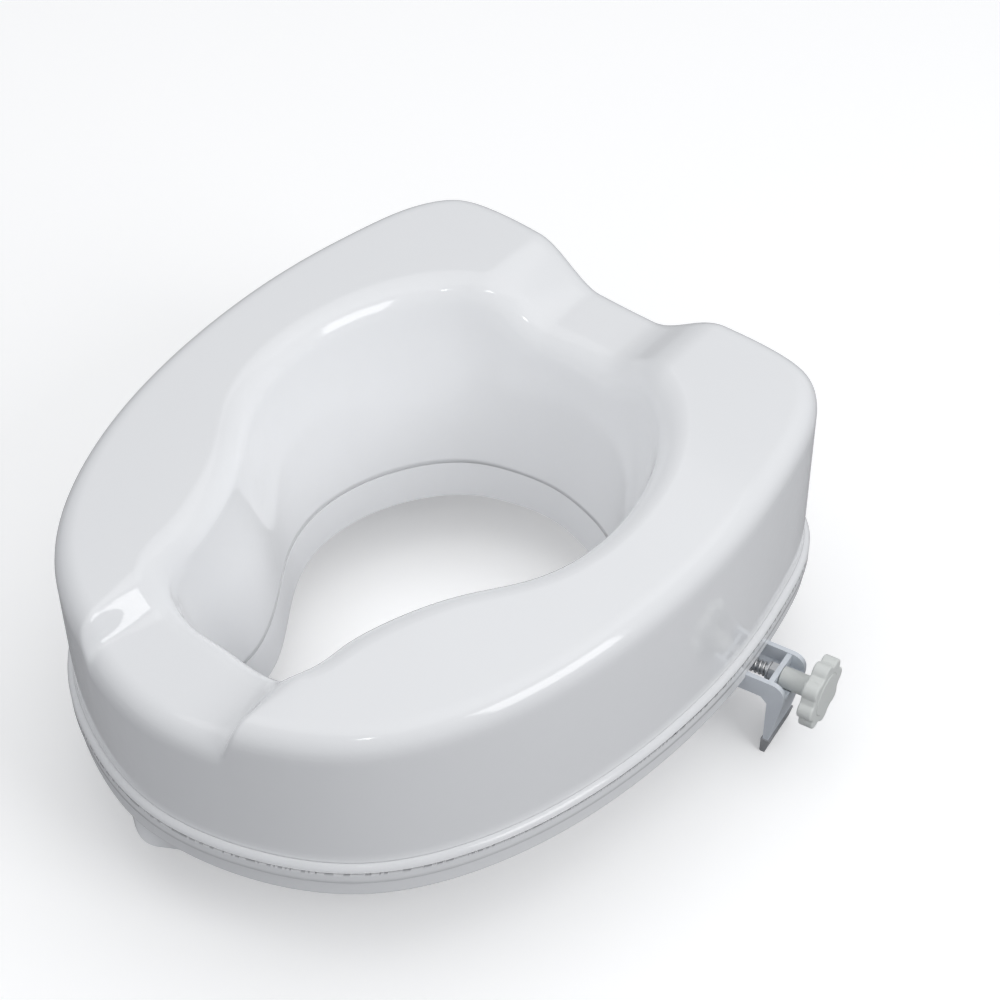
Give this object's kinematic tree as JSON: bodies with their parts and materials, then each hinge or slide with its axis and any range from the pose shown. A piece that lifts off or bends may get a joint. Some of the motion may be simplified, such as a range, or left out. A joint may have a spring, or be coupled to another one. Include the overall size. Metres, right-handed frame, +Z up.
{
  "type": "raised toilet seat",
  "caption": "Hollow moulded raised toilet seat with a keyhole aperture, front hand recess and rear dip, held on the bowl by sprung side clamps turned by lobed knobs.",
  "frame": {"origin": "on the plane of symmetry, midway along the seat, level with the tips of the clamp legs", "axes": "+Z up, +Y towards the hinge end of the bowl (the wide end of the seat), +X to the user's left when seated facing -Y"},
  "size_m": [0.4314, 0.4089, 0.1851],
  "materials": {
    "gloss_white": "gloss moulded",
    "bracket_white": "satin moulded",
    "knob_white": "satin moulded",
    "grip_rubber": "matt",
    "pad_rubber": "matt",
    "zinc": "zinc plated",
    "spring_steel": "bright wire"
  },
  "bodies": {
    "root": {"seat_shell": "gloss_white", "base_shell": "gloss_white", "shell_screws": "zinc", "pad_front_right": "pad_rubber", "pad_front_left": "pad_rubber", "pad_rear_right": "pad_rubber", "pad_rear_left": "pad_rubber", "guide_plate_right": "bracket_white", "guide_screws_right": "zinc", "clamp_nut_right": "zinc", "clamp_spring_right": "spring_steel", "guide_plate_left": "bracket_white", "guide_screws_left": "zinc", "clamp_nut_left": "zinc", "clamp_spring_left": "spring_steel"},
    "bracket_right": {"clamp_bracket_right": "bracket_white", "leg_grip_right": "grip_rubber", "spring_washer_right": "zinc"},
    "knob_right": {"clamp_knob_right": "knob_white", "knob_cap_right": "knob_white", "clamp_screw_right": "zinc", "lock_nut_right": "zinc"},
    "bracket_left": {"clamp_bracket_left": "bracket_white", "leg_grip_left": "grip_rubber", "spring_washer_left": "zinc"},
    "knob_left": {"clamp_knob_left": "knob_white", "knob_cap_left": "knob_white", "clamp_screw_left": "zinc", "lock_nut_left": "zinc"}
  },
  "joints": [
    {"name": "bracket_slide_right", "type": "slide", "parent": "root", "child": "bracket_right", "axis": [-0.9867, -0.1628, 0], "range_m": [0, 0.022], "deforming": ["clamp_spring_right"]},
    {"name": "knob_turn_right", "type": "hinge", "parent": "bracket_right", "child": "knob_right", "pos_m": [0.20627, 0.10551, 0.0495], "axis": [-0.9867, -0.1628, 0], "range_deg": [0, 7920]},
    {"name": "bracket_slide_left", "type": "slide", "parent": "root", "child": "bracket_left", "axis": [0.9867, -0.1628, 0], "range_m": [0, 0.022], "deforming": ["clamp_spring_left"]},
    {"name": "knob_turn_left", "type": "hinge", "parent": "bracket_left", "child": "knob_left", "pos_m": [-0.20627, 0.10551, 0.0495], "axis": [0.9867, -0.1628, 0], "range_deg": [0, 7920]}
  ],
  "couplings": [
    {"joint": "knob_turn_right", "follows": "bracket_slide_right", "rad_per_m": 6283.2},
    {"joint": "knob_turn_left", "follows": "bracket_slide_left", "rad_per_m": 6283.2}
  ]
}
